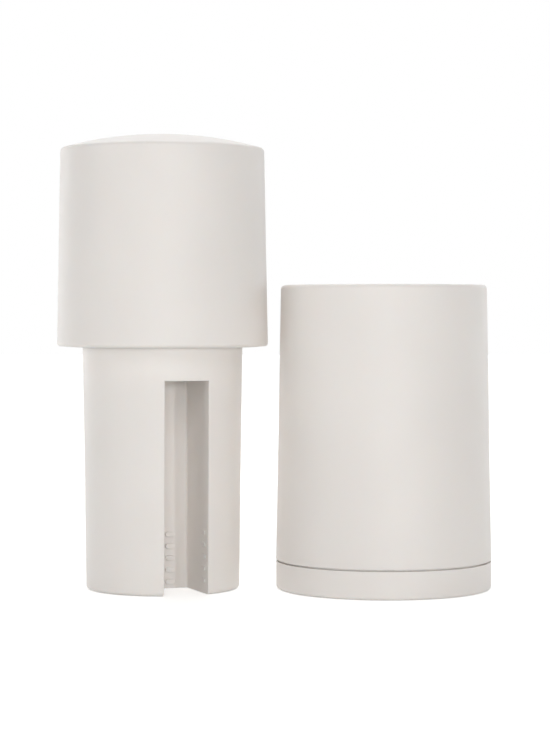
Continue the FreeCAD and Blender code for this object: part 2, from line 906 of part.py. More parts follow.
os.makedirs("parts", exist_ok=True)
for name, shape in make_all().items():
    shape.exportStep("parts/%s.step" % name)
    print("%-15s %d solid(s), %8.1f mm3, valid %s" % (name, len(shape.Solids), shape.Volume, shape.isValid()))
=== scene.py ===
# %% [markdown]
# # A hand-twisted spice mill, taken apart
#
# The mill is two items standing side by side. On the left is the insert: a tall knob with a shallow
# domed top, and under it a slotted column that holds the spice. On the right is the mill body, a
# tapered shell on a pull-off base lid. In use the column drops into the body and the knob is twisted.
#
# This file dresses a fixed CAD model of the mill. Sizes are written in millimetres and turned into
# Blender's metres with one factor, so that they can be compared with a drawing.

import math

import bmesh
import bpy
from mathutils import Matrix, Vector


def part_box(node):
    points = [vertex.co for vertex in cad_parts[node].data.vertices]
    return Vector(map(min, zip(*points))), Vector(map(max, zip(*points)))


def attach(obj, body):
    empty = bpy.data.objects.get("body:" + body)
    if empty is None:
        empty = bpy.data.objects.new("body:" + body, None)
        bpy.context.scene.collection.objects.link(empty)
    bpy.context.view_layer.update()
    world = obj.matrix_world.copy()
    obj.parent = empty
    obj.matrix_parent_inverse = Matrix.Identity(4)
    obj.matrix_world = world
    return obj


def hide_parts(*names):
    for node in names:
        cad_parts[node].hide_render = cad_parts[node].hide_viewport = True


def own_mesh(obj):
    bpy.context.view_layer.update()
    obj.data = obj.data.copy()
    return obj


MM = 0.001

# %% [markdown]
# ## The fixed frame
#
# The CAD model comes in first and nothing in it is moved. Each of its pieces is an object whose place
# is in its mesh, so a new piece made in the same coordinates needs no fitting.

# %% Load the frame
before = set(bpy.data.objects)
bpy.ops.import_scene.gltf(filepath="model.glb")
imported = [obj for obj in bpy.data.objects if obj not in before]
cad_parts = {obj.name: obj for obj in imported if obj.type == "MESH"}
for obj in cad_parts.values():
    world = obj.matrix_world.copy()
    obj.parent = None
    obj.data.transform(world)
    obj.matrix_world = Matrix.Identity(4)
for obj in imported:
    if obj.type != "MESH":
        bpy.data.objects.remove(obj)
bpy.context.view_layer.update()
print("pieces:", len(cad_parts))

# %% [markdown]
# ## Two small helpers
#
# Everything new in the scene is an object that holds some data: a camera, a lamp or a mesh. Shapes are
# built as a bmesh, Blender's editable form of a mesh, and become a mesh when they are finished.

# %% Object and mesh helpers
def add_to_scene(name, data):
    """Makes an object that holds the data, and links it to the scene."""
    thing = bpy.data.objects.new(name, data)
    bpy.context.scene.collection.objects.link(thing)
    return thing


def to_mesh(name, shape):
    """Turns a finished shape into a mesh."""
    mesh = bpy.data.meshes.new(name)
    shape.to_mesh(mesh)
    shape.free()
    return mesh


# %% [markdown]
# ## The camera
#
# The photograph was taken from well back with a long lens: the top and bottom rims of both items are
# only slightly curved. The curve of a rim says how far above or below the lens it is, so the rims give
# the height of the lens, and the growth of that curve down the body gives its distance. The mill body's
# axis and the insert's axis are equally far from the middle of the picture, so the camera looks
# straight along +Y, from between the two.

# %% Place the camera
camera_distance = 691.0
camera_height = 82.5
camera_side = -32.8
camera_dip = 1.31

camera_data = bpy.data.cameras.new("camera")
camera_data.lens = 112.3
camera_data.sensor_width = 36.0
camera = add_to_scene("camera", camera_data)
camera.location = Vector((camera_side, -camera_distance, camera_height)) * MM
camera.rotation_euler = (math.radians(90 - camera_dip), 0, 0)
bpy.context.scene.camera = camera
bpy.context.scene.view_settings.view_transform = "Standard"
print("camera %.0f mm away, lens %.1f mm" % (camera_distance, camera_data.lens))

# %% [markdown]
# ## Floor and background
#
# The picture's background is pure white. More light on the object would wash it out, so the white is
# only for the camera and for reflections: a Light Path node says what kind of ray has come, and for
# those kinds alone the floor adds a glow to its own shade. Light that bounces from the floor on to the
# mill meets a plain pale surface. The glow has half its strength up to 12 cm from the middle of the
# floor and all of it from 45 cm, so that the floor keeps a faint shadow where the two items stand.

# %% Make the floor
finishes = {}


def new_material(name):
    """Keeps a new material under a name, and gives its node tree and its Principled shader."""
    finishes[name] = bpy.data.materials.new("fine_" + name)
    finishes[name].use_nodes = True
    return finishes[name].node_tree, finishes[name].node_tree.nodes["Principled BSDF"]


def add_node(tree, kind, **settings):
    """A node with some of its sockets or properties set."""
    node = tree.nodes.new(kind)
    for key, value in settings.items():
        if key in node.inputs:
            node.inputs[key].default_value = value
        else:
            setattr(node, key, value)
    return node


def seen_rays(tree):
    """A socket that is 1 for camera, glossy and transmission rays, and 0 for light that only bounces."""
    path = add_node(tree, "ShaderNodeLightPath")
    total = path.outputs["Is Camera Ray"]
    for kind in ("Is Glossy Ray", "Is Transmission Ray"):
        larger = add_node(tree, "ShaderNodeMath", operation="MAXIMUM")
        tree.links.new(total, larger.inputs[0])
        tree.links.new(path.outputs[kind], larger.inputs[1])
        total = larger.outputs["Value"]
    return total


floor_tree, floor_shader = new_material("studio_floor")
floor_shader.inputs["Base Color"].default_value = (0.92, 0.915, 0.90, 1)
floor_shader.inputs["Roughness"].default_value = 0.9
floor_shader.inputs["Specular IOR Level"].default_value = 0.1
floor_glow = add_node(floor_tree, "ShaderNodeEmission", Color=(1, 1, 1, 1))
floor_place = add_node(floor_tree, "ShaderNodeTexCoord")
floor_reach = add_node(floor_tree, "ShaderNodeVectorMath", operation="LENGTH")
glow_range = {"From Min": 0.12, "From Max": 0.45, "To Min": 0.5, "To Max": 1.0}
floor_fade = add_node(floor_tree, "ShaderNodeMapRange", **glow_range)
floor_sum = add_node(floor_tree, "ShaderNodeAddShader")
floor_choice = add_node(floor_tree, "ShaderNodeMixShader")
floor_link = floor_tree.links.new
floor_link(floor_place.outputs["Object"], floor_reach.inputs[0])
floor_link(floor_reach.outputs["Value"], floor_fade.inputs["Value"])
floor_link(floor_fade.outputs["Result"], floor_glow.inputs["Strength"])
floor_link(floor_shader.outputs["BSDF"], floor_sum.inputs[0])
floor_link(floor_glow.outputs["Emission"], floor_sum.inputs[1])
floor_link(seen_rays(floor_tree), floor_choice.inputs[0])
floor_link(floor_shader.outputs["BSDF"], floor_choice.inputs[1])
floor_link(floor_sum.outputs["Shader"], floor_choice.inputs[2])
floor_link(floor_choice.outputs["Shader"], floor_tree.nodes["Material Output"].inputs["Surface"])

floor_half_width = 4.0
floor_gap = 0.05
floor_shape = bmesh.new()
bmesh.ops.create_grid(floor_shape, x_segments=2, y_segments=2, size=floor_half_width)
bmesh.ops.translate(floor_shape, verts=floor_shape.verts, vec=(0, 0, -floor_gap * MM))
floor_mesh = to_mesh("floor", floor_shape)
floor_mesh.materials.append(finishes["studio_floor"])
floor = add_to_scene("floor", floor_mesh)
print("floor %.0f m across" % floor.dimensions.x)

# %% [markdown]
# ## Light
#
# The mill stands in very even light: its sides are only a little darker than its middle. The world
# gives a weak light from everywhere, and soft lamps round the mill give the rest. A row of numbers
# says where each lamp stands: its direction in degrees, with 0 at the camera and plus to the right, its
# height in degrees, its distance, its width and height in metres, and its power in watts. Every lamp
# faces the middle of the mill. The low front lamp and the narrow right lamp look into the slot, and the
# left lamp evens the other side. The high front lamp lets the knob's rim shade the top of the column.
# The lamps overhead and behind lift the dome and the edges of the knob and the body, which would fall
# off in light from the front alone.

# %% Light the scene
world_strength = 0.12
world = bpy.data.worlds.new("studio_world")
bpy.context.scene.world = world
world.use_nodes = True
world_tree = world.node_tree
world_link = world_tree.links.new
world_light = world_tree.nodes["Background"]
world_light.inputs["Color"].default_value = (0.97, 0.985, 1.0, 1)
world_light.inputs["Strength"].default_value = world_strength
world_white = add_node(world_tree, "ShaderNodeBackground", Color=(1, 1, 1, 1), Strength=1.0)
world_choice = add_node(world_tree, "ShaderNodeMixShader")
world_link(seen_rays(world_tree), world_choice.inputs[0])
world_link(world_light.outputs["Background"], world_choice.inputs[1])
world_link(world_white.outputs["Background"], world_choice.inputs[2])
world_link(world_choice.outputs["Shader"], world_tree.nodes["World Output"].inputs["Surface"])


def soft_lamp(name, place, target, width, height, power):
    """A rectangular lamp that faces a point; all in metres and watts."""
    data = bpy.data.lights.new(name, "AREA")
    data.shape = "RECTANGLE"
    data.size, data.size_y = width, height
    data.energy = power
    lamp = add_to_scene(name, data)
    lamp.location = place
    lamp.rotation_euler = (target - place).to_track_quat("-Z", "Y").to_euler()


mill_middle = Vector((-0.033, 0, 0.075))
lamps = {
    "front": (4, 4, 1.3, 0.35, 0.15, 3.1),
    "right_key": (30.5, 1, 1.4, 0.05, 0.3, 2.5),
    "high_front": (0, 30, 1.3, 0.9, 0.5, 3.2),
    "left_side": (-60, 8, 1.2, 0.5, 0.4, 1.5),
    "overhead": (20, 86, 1.2, 0.8, 0.8, 2.4),
    "high_back": (180, 50, 1.3, 1.2, 0.6, 7.4),
    "back_left": (-130, 6, 1.2, 0.9, 0.7, 4.2),
    "back_right": (130, 6, 1.2, 0.9, 0.7, 2.7),
}
for name, (side, rise, distance, width, height, power) in lamps.items():
    sideways = Matrix.Rotation(math.radians(side), 3, "Z")
    upwards = Matrix.Rotation(math.radians(-rise), 3, "X")
    place = mill_middle + sideways @ upwards @ Vector((0, -distance, 0))
    soft_lamp(name, place, mill_middle, width, height, power)
print("%d lamps, world strength %.2f" % (len(lamps), world_strength))

# %% [markdown]
# ## The off-white plastic
#
# Knob, column, shell and lid are moulded in one warm off-white plastic with a satin surface. It has
# three parts. Light sinks in a little and comes back warmer, so a small amount of subsurface
# scattering softens the edges and tints the shade in the slot. The steel mould was eroded by sparks,
# which leaves a grain finer than a third of a millimetre, made here by a bump. Last, colour and gloss
# drift very slightly from place to place, as they do on any moulding.

# %% Plastic materials
def grain(tree, shader, size, depth, strength):
    """A fine bump with grains of about the given size, in millimetres."""
    place = add_node(tree, "ShaderNodeTexCoord").outputs["Object"]
    noise = add_node(tree, "ShaderNodeTexNoise", Scale=1 / (size * MM), Detail=2.0, Roughness=0.6)
    bump = add_node(tree, "ShaderNodeBump", Strength=strength, Distance=depth * MM)
    tree.links.new(place, noise.inputs["Vector"])
    tree.links.new(noise.outputs["Fac"], bump.inputs["Height"])
    tree.links.new(bump.outputs["Normal"], shader.inputs["Normal"])
    return place


def drift(tree, place, socket, low, high, size):
    """A slow change of a value or a colour over the surface, in patches of a size in millimetres."""
    noise = add_node(tree, "ShaderNodeTexNoise", Scale=1 / (size * MM), Detail=1.0)
    ramp = add_node(tree, "ShaderNodeValToRGB")
    ramp.color_ramp.elements[0].position = 0.35
    ramp.color_ramp.elements[1].position = 0.65
    ramp.color_ramp.elements[0].color = low
    ramp.color_ramp.elements[1].color = high
    tree.links.new(place, noise.inputs["Vector"])
    tree.links.new(noise.outputs["Fac"], ramp.inputs["Fac"])
    tree.links.new(ramp.outputs["Color"], socket)


def grey(value):
    """A grey with full cover."""
    return (value, value, value, 1)


def moulded_plastic(name, colour, roughness, light_depth, grain_strength=0.12):
    """A satin plastic; light_depth is how far light sinks in, in millimetres."""
    tree, shader = new_material(name)
    shader.inputs["IOR"].default_value = 1.5
    shader.inputs["Specular IOR Level"].default_value = 0.35
    shader.inputs["Subsurface Weight"].default_value = 0.2
    shader.inputs["Subsurface Radius"].default_value = (1.0, 0.75, 0.6)
    shader.inputs["Subsurface Scale"].default_value = light_depth * MM
    place = grain(tree, shader, size=0.28, depth=0.02, strength=grain_strength)
    darker = tuple(0.985 * part for part in colour) + (1,)
    lighter = tuple(min(1.01 * part, 1) for part in colour) + (1,)
    drift(tree, place, shader.inputs["Base Color"], darker, lighter, size=30)
    smoother, rougher = grey(roughness - 0.03), grey(roughness + 0.03)
    drift(tree, place, shader.inputs["Roughness"], smoother, rougher, size=4)


moulded_plastic("off_white_plastic", (0.885, 0.845, 0.81), roughness=0.5, light_depth=1.5)
moulded_plastic("inner_plastic", (0.66, 0.64, 0.61), roughness=0.38, light_depth=0.8)
moulded_plastic("glide_plastic", (0.86, 0.85, 0.83), roughness=0.34, light_depth=1.5,
                grain_strength=0.04)
print("finishes so far:", ", ".join(finishes))

# %% [markdown]
# ## Rubber and steel
#
# The seal is soft rubber with a dull skin. The metals differ in how they were made: the blade is
# etched and keeps faint rolling lines, the rod is ground round its axis, the spring wire is drawn and
# darker, and the screws are plain. Rolling lines are noise that is stretched along one direction by a
# Mapping node.

# %% Rubber and steel materials
def streaked_steel(name, colour, roughness, stretch, size):
    """A steel with fine lines, size millimetres apart, along the axis that stretch makes small."""
    tree, shader = new_material(name)
    shader.inputs["Metallic"].default_value = 1.0
    place = add_node(tree, "ShaderNodeTexCoord").outputs["Object"]
    mapping = add_node(tree, "ShaderNodeMapping", Scale=stretch)
    noise = add_node(tree, "ShaderNodeTexNoise", Scale=1 / (size * MM), Detail=3.0)
    bump = add_node(tree, "ShaderNodeBump", Strength=0.1, Distance=0.004 * MM)
    tree.links.new(place, mapping.inputs["Vector"])
    tree.links.new(mapping.outputs["Vector"], noise.inputs["Vector"])
    tree.links.new(noise.outputs["Fac"], bump.inputs["Height"])
    tree.links.new(bump.outputs["Normal"], shader.inputs["Normal"])
    darker = tuple(0.9 * part for part in colour) + (1,)
    drift(tree, place, shader.inputs["Base Color"], darker, tuple(colour) + (1,), size=6)
    smoother, rougher = grey(roughness - 0.06), grey(roughness + 0.06)
    drift(tree, mapping.outputs["Vector"], shader.inputs["Roughness"], smoother, rougher, size=2)


rubber_tree, rubber_shader = new_material("seal_rubber")
rubber_place = grain(rubber_tree, rubber_shader, size=0.2, depth=0.03, strength=0.3)
rubber_dark, rubber_light = (0.58, 0.57, 0.55, 1), (0.62, 0.61, 0.59, 1)
drift(rubber_tree, rubber_place, rubber_shader.inputs["Base Color"], rubber_dark, rubber_light, size=8)
drift(rubber_tree, rubber_place, rubber_shader.inputs["Roughness"], grey(0.55), grey(0.68), size=3)

streaked_steel("blade_steel", (0.60, 0.60, 0.61), roughness=0.30, stretch=(0.04, 1.0, 1.0), size=0.09)
streaked_steel("rod_steel", (0.56, 0.56, 0.57), roughness=0.25, stretch=(0.1, 0.1, 1.0), size=0.15)
streaked_steel("spring_steel", (0.50, 0.50, 0.52), roughness=0.32, stretch=(1.0, 1.0, 1.0), size=0.2)
streaked_steel("screw_steel", (0.55, 0.55, 0.56), roughness=0.28, stretch=(1.0, 1.0, 0.2), size=0.2)
print("all finishes:", ", ".join(finishes))

# %% [markdown]
# ## Round pieces from a half outline
#
# Nearly every piece of the mill is round, so it is turned, as on a lathe. A few corners make a wire in
# the XZ plane, the corners that are round on the real piece are bevelled, and the wire is spun about
# the axis. Long straight runs are cut into short ones first. Blender shades a surface from normals
# at its points, so short runs keep the soft shading of a rounded edge from spreading over the flat
# wall beside it.

# %% Outline helpers
def round_corner(wire, corner, rounding):
    """Bevels one corner of a wire to a radius in millimetres."""
    arms = [edge.other_vert(corner).co - corner.co for edge in corner.link_edges]
    reach = rounding * MM / math.tan(arms[0].angle(arms[1]) / 2)
    bmesh.ops.bevel(wire, geom=[corner], offset=reach, offset_type="OFFSET", segments=8,
                    profile=0.5, affect="VERTICES", material=-1)


def split_long_edges(wire, longest):
    """Cuts straight runs so that none is longer than a length in millimetres."""
    for edge in list(wire.edges):
        cuts = int(edge.calc_length() / (longest * MM))
        if cuts:
            bmesh.ops.subdivide_edges(wire, edges=[edge], cuts=cuts)


def outline(corners, closed=True):
    """A wire through (radius, height) corners in millimetres; a third number rounds a corner."""
    wire = bmesh.new()
    points = [wire.verts.new((c[0] * MM, 0, c[1] * MM)) for c in corners]
    ends = points[1:] + points[:1] if closed else points[1:]
    for start, end in zip(points, ends):
        wire.edges.new((start, end))
    for point, corner in zip(points, corners):
        if len(corner) > 2:
            round_corner(wire, point, corner[2])
    return wire


def turn(wire, angle=360.0, steps=192, longest=1.5):
    """Spins an outline about the Z axis; part of a turn is closed with a face at each end."""
    split_long_edges(wire, longest)
    full = angle == 360.0
    if not full:
        bmesh.ops.rotate(wire, verts=wire.verts, cent=(0, 0, 0),
                         matrix=Matrix.Rotation(math.radians((360 - angle) / 2 + 90), 3, "Z"))
    bmesh.ops.spin(wire, geom=wire.verts[:] + wire.edges[:], cent=(0, 0, 0), axis=(0, 0, 1),
                   angle=math.radians(angle), steps=steps, use_merge=full)
    if not full:
        bmesh.ops.holes_fill(wire, edges=[edge for edge in wire.edges if edge.is_boundary])
    bmesh.ops.remove_doubles(wire, verts=wire.verts, dist=0.0005 * MM)
    bmesh.ops.recalc_face_normals(wire, faces=wire.faces)
    return wire


# %% [markdown]
# ## Finishing a piece
#
# Every finished shape goes through the same last step: smooth shading with sharp edges kept where two
# faces meet at more than 40 degrees, its material, the body that it moves with, and the CAD piece that
# it stands for.

# %% Finish helper
sharp_angle = 40


def finish_piece(name, shape, finish, body, node):
    """Makes an object of a finished shape and ties it to the frame."""
    mesh = to_mesh(name, shape)
    mesh.shade_smooth()
    mesh.set_sharp_from_angle(angle=math.radians(sharp_angle))
    mesh.materials.append(finishes[finish])
    piece = add_to_scene(name, mesh)
    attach(piece, body)
    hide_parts(node)
    low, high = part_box(node)
    height = (high[2] - low[2]) / MM
    print("%-14s %6d faces, CAD piece %.1f mm high" % (name, len(mesh.polygons), height))
    return piece


# %% [markdown]
# ## The base lid and its seal
#
# The lid is a shallow cup. Its outside is the mill's foot, with a narrow soft edge at the floor, and a
# spigot above it enters the shell. The seal is a soft ring with a round lip, in a groove of the spigot.

# %% Turn the lid and the seal
lid_radius, lid_height, lid_floor = 32.45, 8.3, 1.6
spigot_radius, spigot_inside, spigot_top = 30.27, 28.6, 13.2
groove_radius, groove_low, groove_high = 29.27, 9.9, 11.7
lid_corners = [
    (0, 0), (lid_radius, 0, 1.0), (lid_radius, lid_height, 0.15), (spigot_radius, lid_height),
    (spigot_radius, groove_low), (groove_radius, groove_low), (groove_radius, groove_high),
    (spigot_radius, groove_high), (spigot_radius, spigot_top, 0.3), (spigot_inside, spigot_top, 0.3),
    (spigot_inside, lid_floor, 1.5), (0, lid_floor),
]
lid_shape = turn(outline(lid_corners, closed=False))
finish_piece("mill_lid", lid_shape, "off_white_plastic", "base", "base_lid")

seal_radius, seal_middle, seal_edge_radius = 30.39, 10.8, 30.09
seal_corners = [
    (groove_radius, groove_low), (seal_edge_radius, groove_low, 0.2), (seal_radius, seal_middle, 0.5),
    (seal_edge_radius, groove_high, 0.2), (groove_radius, groove_high),
]
finish_piece("soft_seal", turn(outline(seal_corners)), "seal_rubber", "base", "lid_seal")

# %% [markdown]
# ## The body's shell
#
# The shell tapers gently towards its rim. At the bottom its edge stands half a millimetre above the
# lid, which gives the thin dark seam of the photograph. The rim is rounded outside, and turns in to
# the mouth. Three screw pillars hang from the rim inside the wall, and they are simple cylinders that
# enter the rim.

# %% Turn the shell and add its pillars
shell_low, shell_high = 8.8, 91.4
shell_low_radius, shell_high_radius = 32.5, 31.0
shell_wall = 2


def shell_radius(height):
    """Outside radius of the shell at a height."""
    narrowing = shell_low_radius - shell_high_radius
    return shell_low_radius - narrowing * (height - shell_low) / (shell_high - shell_low)


def add_cylinder(shape, radius, low, high, x, y, segments=48):
    """Adds an upright cylinder to a shape, sizes in millimetres."""
    place = Matrix.Translation(Vector((x, y, (low + high) / 2)) * MM)
    bmesh.ops.create_cone(shape, cap_ends=True, segments=segments, radius1=radius * MM,
                          radius2=radius * MM, depth=(high - low) * MM, matrix=place)


def circle_points(radius, degrees):
    """The x and y of points on a circle."""
    return [(radius * math.cos(math.radians(d)), radius * math.sin(math.radians(d))) for d in degrees]


seam_radius = 31.1
mouth_radius = 24.42
liner_top = 90.0
socket_radius, socket_low = 25.77, 89.0
shell_corners = [
    (shell_radius(lid_height) - shell_wall, lid_height), (seam_radius, lid_height),
    (seam_radius, shell_low), (shell_low_radius, shell_low, 0.15),
    (shell_high_radius, shell_high, 1.3), (mouth_radius, shell_high, 0.8),
    (mouth_radius, liner_top), (socket_radius, liner_top), (socket_radius, socket_low),
    (shell_radius(socket_low) - shell_wall, socket_low, 1.0),
]
shell_shape = turn(outline(shell_corners))
pillar_circle, pillar_radius, pillar_low, pillar_high = 28.24, 2.4, 20.2, 89.2
for x, y in circle_points(pillar_circle, (90, 210, 330)):
    add_cylinder(shell_shape, pillar_radius, pillar_low, pillar_high, x, y)
finish_piece("mill_shell", shell_shape, "off_white_plastic", "mill_body", "body_shell")

# %% [markdown]
# ## The bore liner
#
# The liner is the sleeve in which the column turns. It follows the column's taper with a third of a
# millimetre to spare, and its flange closes the shell's bottom and carries the blade.

# %% Turn the liner
liner_low = 17.8
bore_low_radius, bore_high_radius = 23.44, 24.4
sleeve_low_radius, sleeve_high_radius = 24.75, 25.7
liner_flange_radius, liner_flange_top = 30.0, 20.2
liner_corners = [
    (bore_low_radius, liner_low), (liner_flange_radius, liner_low),
    (liner_flange_radius, liner_flange_top, 0.5), (sleeve_low_radius, liner_flange_top, 0.8),
    (sleeve_high_radius, liner_top), (bore_high_radius, liner_top),
]
liner_shape = turn(outline(liner_corners))
liner_boss_circle, liner_boss_radius, liner_boss_low, liner_boss_high = 28.0, 2.0, 20.0, 24.2
for x, y in circle_points(liner_boss_circle, (30, 150, 270)):
    add_cylinder(liner_shape, liner_boss_radius, liner_boss_low, liner_boss_high, x, y)
finish_piece("bore_sleeve", liner_shape, "inner_plastic", "mill_body", "bore_liner")

# %% [markdown]
# ## Where the insert stands
#
# The insert is modelled on its own axis with the slot facing the viewer, as a maker would draw it, and
# then turned and moved to its place beside the body. The slot faces about 21 degrees to the right.

# %% Placing helper
slot_turn = 20.8
insert_x = -66.7


def stand_beside(shape):
    """Turns and moves a finished shape of the insert to its place."""
    bmesh.ops.rotate(shape, verts=shape.verts, cent=(0, 0, 0),
                     matrix=Matrix.Rotation(math.radians(slot_turn), 3, "Z"))
    bmesh.ops.translate(shape, verts=shape.verts, vec=(insert_x * MM, 0, 0))
    return shape


# %% [markdown]
# ## The knob
#
# The knob's side tapers a little towards the top, and its top is a very shallow dome, part of a sphere
# of more than 100 mm radius. So its outline has two arcs, one for the outside and one for the inside,
# and each is made by spinning a single point about the sphere's centre. The other corners are joined
# to the arcs' ends by straight edges.

# %% Turn the knob
rim_height = 73.0
rim_radius = 31.77
crown_height = 132.3
crown_radius = 30.64
apex_height = 136.6
wall = 2.0
dome_rise = apex_height - crown_height
dome_radius = (crown_radius**2 + dome_rise**2) / (2 * dome_rise)
dome_centre = apex_height - dome_radius
inner_dome_radius = dome_radius - wall


def dome_arc(wire, radius, reach):
    """Spins a point from the axis out along the dome, and gives the arc's last point."""
    apex = wire.verts.new(Vector((0, 0, dome_centre + radius)) * MM)
    spun = bmesh.ops.spin(wire, geom=[apex], cent=(0, 0, dome_centre * MM), axis=(0, 1, 0),
                          angle=math.asin(reach / radius), steps=24)
    return [part for part in spun["geom_last"] if isinstance(part, bmesh.types.BMVert)][0]


knob_wire = bmesh.new()
ceiling_edge = dome_arc(knob_wire, inner_dome_radius, crown_radius - wall)
inner_rim = knob_wire.verts.new(Vector((rim_radius - wall, 0, rim_height)) * MM)
outer_rim = knob_wire.verts.new(Vector((rim_radius, 0, rim_height)) * MM)
crown = dome_arc(knob_wire, dome_radius, crown_radius)
for pair in ((ceiling_edge, inner_rim), (inner_rim, outer_rim), (outer_rim, crown)):
    knob_wire.edges.new(pair)
for corner, rounding in ((inner_rim, 0.4), (outer_rim, 1.0), (crown, 1.1)):
    round_corner(knob_wire, corner, rounding)
knob_shape = turn(knob_wire)
insert_screws = circle_points(26.72, (90, 210, 330))
flange_top = 77.1
knob_pillar_radius, knob_pillar_top = 3.2, 132.0
for x, y in insert_screws:
    add_cylinder(knob_shape, knob_pillar_radius, flange_top, knob_pillar_top, x, y)
finish_piece("tall_knob", stand_beside(knob_shape), "off_white_plastic", "insert", "knob_shell")

# %% [markdown]
# ## The spice chamber
#
# The slotted column, its flange and the well above the slot are one moulding. The slot has parallel
# walls while the column tapers, so spinning an outline can't make it. The column is turned whole, and
# then blocks are joined to it or cut from it with Blender's exact boolean, as a toolmaker would sink
# a block into a turned cavity. Last, the slot's mouth gets a fine rounded edge, because a perfectly
# sharp edge catches no light.

# %% Block and boolean helpers
def round_edges(shape, edges, rounding, segments, clamp=False):
    """Bevels edges to a radius in millimetres; clamp keeps the bevels from running into each other."""
    bmesh.ops.bevel(shape, geom=edges, offset=rounding * MM, offset_type="OFFSET", segments=segments,
                    profile=0.5, affect="EDGES", clamp_overlap=clamp, material=-1)


def block(half_width, back, front, low, high):
    """A block across the slot; back and front are distances from the column's axis, in millimetres."""
    size = Vector((2 * half_width, front - back, high - low)) * MM
    middle = Vector((0, -(front + back) / 2, (low + high) / 2)) * MM
    shape = bmesh.new()
    bmesh.ops.create_cube(shape, size=1, matrix=Matrix.LocRotScale(middle, None, size))
    return shape


def combine(shape, tool, operation):
    """Joins or cuts two closed shapes and gives the result as a new shape."""
    pair = [add_to_scene("work", to_mesh("work", part)) for part in (shape, tool)]
    boolean = pair[0].modifiers.new("combine", "BOOLEAN")
    boolean.operation = operation
    boolean.solver = "EXACT"
    boolean.object = pair[1]
    result = bmesh.new()
    result.from_object(pair[0], bpy.context.evaluated_depsgraph_get())
    for work in pair:
        bpy.data.meshes.remove(work.data)
    return result


# %% [markdown]
# The inside of the column is hollow beside the slot, so a turned plug is taken out of the column first.
# Then the walls of the channel go in: a block whose front leans with the column's taper, so that it
# ends inside the outer wall all the way up. Inside the flange its top is stepped forward, and pulled
# up into the square well. Two screw bosses stand at the well's sides.

# %% Build the column and the channel's walls
slot_half = 6.85
slot_back = 2.5
slot_height = 63.1
chamber_wall = 1.8
well_front = 20.6
well_top = 100.1
well_middle = -(slot_back + well_front) / 2
boss_x, boss_radius, boss_low = 10.75, 2.5, 89.1


def moving_points(made):
    """The points of what an extrude made."""
    return [part for part in made["geom"] if isinstance(part, bmesh.types.BMVert)]


def pull_up(shape, faces, distance):
    """Extrudes some faces upwards, and takes away the faces that are left inside."""
    raised = moving_points(bmesh.ops.extrude_face_region(shape, geom=faces))
    bmesh.ops.delete(shape, geom=faces, context="FACES_ONLY")
    bmesh.ops.translate(shape, verts=raised, vec=(0, 0, distance * MM))
    return raised


column_low_radius, column_high_radius = 23.1, 24.07
neck_radius, neck_low, neck_high = 23.4, 73.2, 74.3
flange_radius, flange_low = 29.42, 74.6
column_corners = [
    (0, 0), (column_low_radius, 0, 1.2), (column_high_radius, rim_height),
    (column_high_radius, neck_low), (neck_radius, neck_low), (neck_radius, neck_high),
    (column_high_radius, neck_high), (column_high_radius, flange_low), (flange_radius, flange_low),
    (flange_radius, flange_top, 0.5), (0, flange_top),
]
pocket_low_radius, pocket_high_radius, pocket_top = 21.3, 22.34, 78.1
pocket_corners = [
    (0, chamber_wall), (pocket_low_radius, chamber_wall, 0.5), (pocket_high_radius, pocket_top),
    (0, pocket_top),
]
chamber = turn(outline(column_corners, closed=False))
chamber = combine(chamber, turn(outline(pocket_corners, closed=False), longest=4), "DIFFERENCE")

spine_low, spine_step, spine_front = 0.9, 74.9, 20.9
spine_lean, step_forward = 0.5, 1.0
halfway = 10 * MM
spine = block(slot_half + chamber_wall, slot_back - chamber_wall, spine_front, spine_low, spine_step)
front_points = [point for point in spine.verts if point.co.y < -halfway]
leaning = [point for point in front_points if point.co.z > halfway]
bmesh.ops.translate(spine, verts=leaning, vec=(0, -spine_lean * MM, 0))
top_faces = [face for face in spine.faces if face.normal.z > 0.9]
stepped = pull_up(spine, top_faces, 0)
step_points = [point for point in stepped if point.co.y < -halfway]
bmesh.ops.translate(spine, verts=step_points, vec=(0, -step_forward * MM, 0))
spine.normal_update()
top_faces = [face for face in spine.faces if all(point in stepped for point in face.verts)]
pull_up(spine, top_faces, well_top - spine_step)
chamber = combine(chamber, spine, "UNION")
bosses = bmesh.new()
for side in (-1, 1):
    add_cylinder(bosses, boss_radius, boss_low, well_top, side * boss_x, well_middle)
chamber = combine(chamber, bosses, "UNION")
print("column with its walls: %d faces" % len(chamber.faces))

# %% [markdown]
# The channel itself is one cutter. It is a block as tall as the slot, and the part of its top that lies
# inside the column is pulled up to cut the well. One cutter leaves no seam between slot and well. The
# two back corners are rounded, so that spice doesn't lodge in them.

# %% Cut the channel
past_column, past_end = 40, 1
channel = block(slot_half, slot_back, past_column, -past_end, slot_height)
bmesh.ops.bisect_plane(channel, geom=channel.verts[:] + channel.edges[:] + channel.faces[:],
                       plane_co=(0, -well_front * MM, 0), plane_no=(0, 1, 0))
roof = [face for face in channel.faces
        if face.normal.z > 0.9 and face.calc_center_median().y > -well_front * MM]
pull_up(channel, roof, well_top + past_end - slot_height)
back_corners = [edge for edge in channel.edges
                if abs(edge.verts[0].co.z - edge.verts[1].co.z) > MM
                and edge.verts[0].co.y > -(slot_back + 1) * MM]
round_edges(channel, back_corners, rounding=0.8, segments=8)
chamber = combine(chamber, channel, "DIFFERENCE")
print("with its channel: %d faces" % len(chamber.faces))

# %% [markdown]
# ## Screw holes and the slot's mouth
#
# The flange's three screws sit in countersunk holes, and two plain holes go down the bosses. The
# edges of the slot's mouth are found by where they are: beside the slot, on the outside of the column.

# %% Cut the holes and round the mouth
head_radius, shank_radius = 2.3, 1.1
head_middle, head_height = 75.15, 1.3
shank_low, shank_top = 75.5, 78.0
cover_hole_radius, cover_hole_low = 0.92, 91.1


